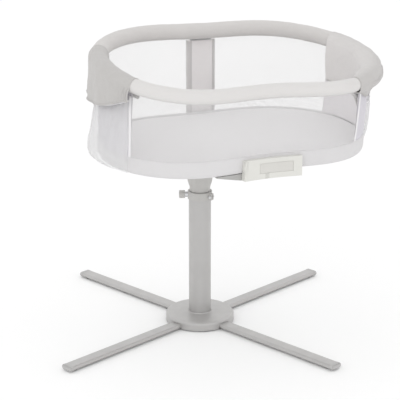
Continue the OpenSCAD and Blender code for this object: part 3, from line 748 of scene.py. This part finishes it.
def slab_rings(inset, bottom, top, radius, crown, ripple, seed):
    """Rings of a soft slab that follows the shell, from under its edge to its middle.
    It stands back at the two ends, where the stays pass."""
    apart = np.abs((LOOP + 90) % 180 - 90)
    reach = inset - max(0.0, inset + 0.0080) * np.exp(-((apart / 9.0) ** 2))
    rings = []
    for a in np.linspace(0, 90, 9):
        out = radius * math.cos(math.radians(a)) - radius
        rings.append((out, top - radius + radius * math.sin(math.radians(a))))
    rings.insert(0, (0.0, bottom))
    rings.insert(1, (0.0004, (bottom + top - radius) / 2))
    rows = [at_height(shell(LOOP, reach + out), z) for out, z in rings]
    centre = np.array([0.0, PIVOT_Y - 0.01])
    inner = shell(LOOP, reach + rings[-1][0])
    for k in np.linspace(0, 1, 26)[1:]:
        share = 1 - k**1.05 * 0.985
        plan = centre + (inner - centre) * share
        z = top + crown * (1 - share**2.4)
        rows.append(at_height(plan, z))
    p = np.stack(rows, 1)
    p[..., 2] += ripple * waves(p[..., :2], 0.11, seed) * (p[..., 2] > top - radius)
    return p


def soft_slab(name, inset, bottom, top, radius, crown, ripple, seed, closed):
    p = slab_rings(inset, bottom, top, radius, crown, ripple, seed)
    obj = surface(name, p, round_rows=True)
    mesh = bmesh.new()
    mesh.from_mesh(obj.data)
    mesh.verts.ensure_lookup_table()
    rows, columns = p.shape[:2]
    mesh.faces.new([mesh.verts[i * columns + columns - 1] for i in range(rows)])
    if closed:
        mesh.faces.new([mesh.verts[i * columns] for i in reversed(range(rows))])
    bmesh.ops.recalc_face_normals(mesh, faces=mesh.faces)
    for f in mesh.faces:
        f.smooth = True
    mesh.to_mesh(obj.data)
    mesh.free()
    return obj


pad = soft_slab(
    "mattress_pad", -0.0105, 0.6265, 0.6465, 0.005, 0.003, 0.0, 60, True
)
coat(pad, "foam")
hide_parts("mattress")
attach(pad, "bassinet")
sheet = soft_slab(
    "fitted_sheet_cloth", -0.0042, 0.6285, 0.6492, 0.0065, 0.0036, 0.0004, 61, False
)
coat(sheet, "sheet_fabric")
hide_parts("fitted_sheet")
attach(sheet, "bassinet")

# ---- pockets ----------------------------------------------------------------

POCKETS = {
    -1: ((-4, 2.4), (0, 17), (9, 32), (32, 38), (80, 30), (124, 22), (156, 18)),
    1: ((0, 2.4), (20, 6), (44, 20), (80, 25), (124, 27), (160, 23), (180, 18)),
}
POCKET_SPREAD = 21
POCKET_FOOT = BAND_BOTTOM + 0.005
POCKET_TURN = {-1: 1, 1: -1}
POCKET_DROOP = {-1: 0.0, 1: 0.006}
POCKET_GATHER = {-1: 0.0005, 1: 0.0016}


def pocket(label, side):
    """Netting bag on one end, gathered into an elastic edge at its mouth. The left
    mouth follows the wrap's hem, and the right one is cut lower at the front."""
    middle = (0 if side > 0 else 180) + POCKET_TURN[side]
    levels = np.array(POCKETS[side], float) / 1000
    t = np.linspace(middle - POCKET_SPREAD, middle + POCKET_SPREAD, 80)[:, None]
    k = np.linspace(0, 1, 46)[None, :]
    knots = np.linspace(0, 1, len(levels))
    fine = np.linspace(0, 1, 200)
    reach = np.interp(fine, knots, levels[:, 1])
    rise = np.interp(fine, knots, levels[:, 0])
    reach = np.convolve(np.pad(reach, 12, "edge"), np.ones(25) / 25, "valid")
    t, k = np.broadcast_arrays(t, k)
    ease = ((t - middle) / POCKET_SPREAD) ** 2
    bulge = np.sqrt(np.clip(1 - ease, 0, 1))
    out = 0.0024 + (np.interp(k, fine, reach) - 0.0024) * bulge
    out = np.where(k == 0, 0.0024, out)
    if side < 0:
        hem = rim_centre(t)[..., 2] - skirt_drop((t - 180) / SEAM_LEFT)
        mouth = hem - 0.002 - POCKET_FOOT
    else:
        v = shell(t, np.zeros(t.shape))[..., 1] + FORWARD
        mouth = levels[-1, 0] + 0.62 * np.minimum(0, v + 0.025)
    z = POCKET_FOOT + np.interp(k, fine, rise) * mouth / levels[-1, 0]
    droop = POCKET_DROOP[side] * bulge * k**3
    along = t * METRES_PER_DEGREE
    gather = np.sin(along * 2 * math.pi / 0.014 + 2 * np.sin(along * 30))
    p0 = at_height(shell(t, out), z - droop)
    out = out + bulge * (
        POCKET_GATHER[side] * gather * k**2 + 0.0022 * waves(p0, 0.07, 70 + side)
    )
    p = at_height(shell(t, out), z - droop)
    bag = coat(surface(f"pocket_net_{label}", p), "pocket_mesh")
    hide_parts(f"pocket_{label}")
    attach(bag, "bassinet")
    edge = tube(f"pocket_edge_{label}", p[:, -1], 0.0024, 8, flat=0.8)
    coat(edge, "pocket_mesh", "binding")
    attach(edge, "bassinet")
    return bag, edge


pockets = {label: pocket(label, side) for label, side in (("left", -1), ("right", 1))}

# ---- sleeve on the back upright ---------------------------------------------


def rounded_loop(width, depth, radius, count):
    """Points round a rectangle with rounded corners, centred, spaced evenly."""
    corners = []
    for cx, cy, start in (
        (1, 1, 0),
        (-1, 1, 90),
        (-1, -1, 180),
        (1, -1, 270),
    ):
        for a in np.linspace(start, start + 90, 9):
            turn = math.radians(a)
            corners.append(
                (
                    cx * (width / 2 - radius) + radius * math.cos(turn),
                    cy * (depth / 2 - radius) + radius * math.sin(turn),
                )
            )
    loop = np.array(corners + corners[:1])
    lengths = np.concatenate(
        [[0], np.cumsum(np.linalg.norm(np.diff(loop, axis=0), axis=1))]
    )
    s = np.linspace(0, lengths[-1], count, endpoint=False)
    return np.stack([np.interp(s, lengths, loop[:, i]) for i in (0, 1)], -1)


def upright_sleeve():
    outer = rounded_loop(0.0850, 0.0250, 0.0105, 96)
    inner = rounded_loop(0.0612, 0.0202, 0.0045, 96)
    rows = []
    low, high = 0.6085, 0.8655
    for z in np.linspace(low + 0.004, high - 0.004, 60):
        rows.append((outer, z))
    rows.append((outer * 0.97 + inner * 0.03, high - 0.001))
    rows.append((outer * 0.6 + inner * 0.4, high))
    rows.append((inner, high - 0.002))
    rows.append((inner, low + 0.002))
    rows.append((outer * 0.6 + inner * 0.4, low))
    rows.append((outer * 0.97 + inner * 0.03, low + 0.001))
    p = np.stack(
        [np.concatenate([loop, np.full((96, 1), z)], 1) for loop, z in rows]
    )
    face = smooth(np.abs(p[..., 1]), 0.0095, 0.012)
    tall = np.zeros(p.shape[:2])
    tall[:60] = 1
    lift = (0.0006 * waves(p, 0.07, 81) + 0.0003 * waves(p, 0.02, 82)) * face * tall
    out = unit(np.stack([p[..., 0], 3 * p[..., 1], 0 * lift], -1))
    p = p + lift[..., None] * out + np.array([UPRIGHT_X, UPRIGHT_Y, 0])
    return surface("upright_sleeve_cloth", p, round_rows=True, round_columns=True)


sleeve = coat(upright_sleeve(), "upright_sleeve")
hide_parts("upright_cover")
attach(sleeve, "bassinet")
# Darker strips down the sleeve's two sides, partly binding and partly painted shade.
for label, side in (("left", -1), ("right", 1)):
    loop = rounded_loop(0.0868, 0.0262, 0.0108, 160)
    keep = loop[side * loop[:, 0] > 0.0320]
    order = np.argsort(np.arctan2(keep[:, 1], side * (keep[:, 0] - side * 0.030)))
    keep = keep[order]
    z = np.linspace(0.6100, 0.8640, 50)
    p = np.zeros((len(z), len(keep), 3))
    p[..., 0], p[..., 1] = keep[None, :, 0] + UPRIGHT_X, keep[None, :, 1] + UPRIGHT_Y
    p[..., 2] = z[:, None]
    edging = surface(f"sleeve_edging_{label}", p, thick=0.0008, offset=-side * 1.0)
    coat(edging, "upright_sleeve", "edging")
    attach(edging, "bassinet")

# ---- hard parts keep their CAD shape ----------------------------------------

SOFTENED = {
    "front_tab": 0.0022,
    "support_arm": 0.002,
    "leg_end_caps": 0.0009,
    "height_collar": 0.0008,
}

for name, node in NODES.items():
    if node.hide_render:
        continue
    names = [s.material.name.split(".")[0] for s in node.material_slots if s.material]
    finish = next(n for n in names if n in FINISHES)
    for slot in node.material_slots:
        slot.material = FINISHES[finish].material
    if name in SOFTENED:
        weld = node.modifiers.new("weld", "WELD")
        weld.merge_threshold = 0.00002
        bevel = node.modifiers.new("bevel", "BEVEL")
        bevel.width, bevel.segments = SOFTENED[name], 3
        bevel.limit_method, bevel.angle_limit = "ANGLE", math.radians(35)
        bevel.harden_normals = True

# ---- studio -----------------------------------------------------------------

bpy.ops.mesh.primitive_plane_add(size=24, location=(0, 0, 0))
floor = bpy.context.object
floor.name = "studio_floor"
paper = Finish("studio_paper", (0.96, 0.96, 0.96), 0.95, Specular_IOR_Level=0.0)
floor.data.materials.append(paper.material)

world = bpy.data.worlds.new("studio")
world.use_nodes = True
world.node_tree.nodes["Background"].inputs["Color"].default_value = (1, 1, 1, 1)
world.node_tree.nodes["Background"].inputs["Strength"].default_value = 1.05
bpy.context.scene.world = world


def softbox(name, place, aim, size, power):
    light = bpy.data.lights.new(name, "AREA")
    light.shape = "DISK"
    light.size = size
    light.energy = power
    obj = bpy.data.objects.new(name, light)
    obj.location = place
    way = Vector(aim) - Vector(place)
    obj.rotation_euler = way.to_track_quat("-Z", "Y").to_euler()
    bpy.context.scene.collection.objects.link(obj)


softbox("key", (-1.9, -2.6, 1.9), (0, -0.1, 0.6), 1.8, 9)
softbox("front", (0.6, -3.4, 1.0), (0.1, -0.1, 0.65), 1.8, 4)

camera = bpy.data.cameras.new("camera")
camera.lens, camera.sensor_width = 123.57, 36
camera.shift_x = 0.1 / 400
viewer = bpy.data.objects.new("camera", camera)
viewer.location = (-1.4995, -3.638, 1.636)
viewer.rotation_euler = (
    (Vector((0, 0, 0.386)) - viewer.location).to_track_quat("-Z", "Y").to_euler()
)
bpy.context.scene.collection.objects.link(viewer)
bpy.context.scene.camera = viewer
bpy.context.scene.view_settings.view_transform = "Standard"

# ---- sheets, as they were cut -----------------------------------------------

for label, panel_flat, wrap_flat, pocket_flat in (
    ("left", (0.29, 0.19), (0.32, 0.20), (0.28, 0.19)),
    ("right", (0.37, 0.19), (0.43, 0.25), (0.28, 0.19)),
):
    panel, lining = panels[label]
    wrap, hem, inner = wraps[label]
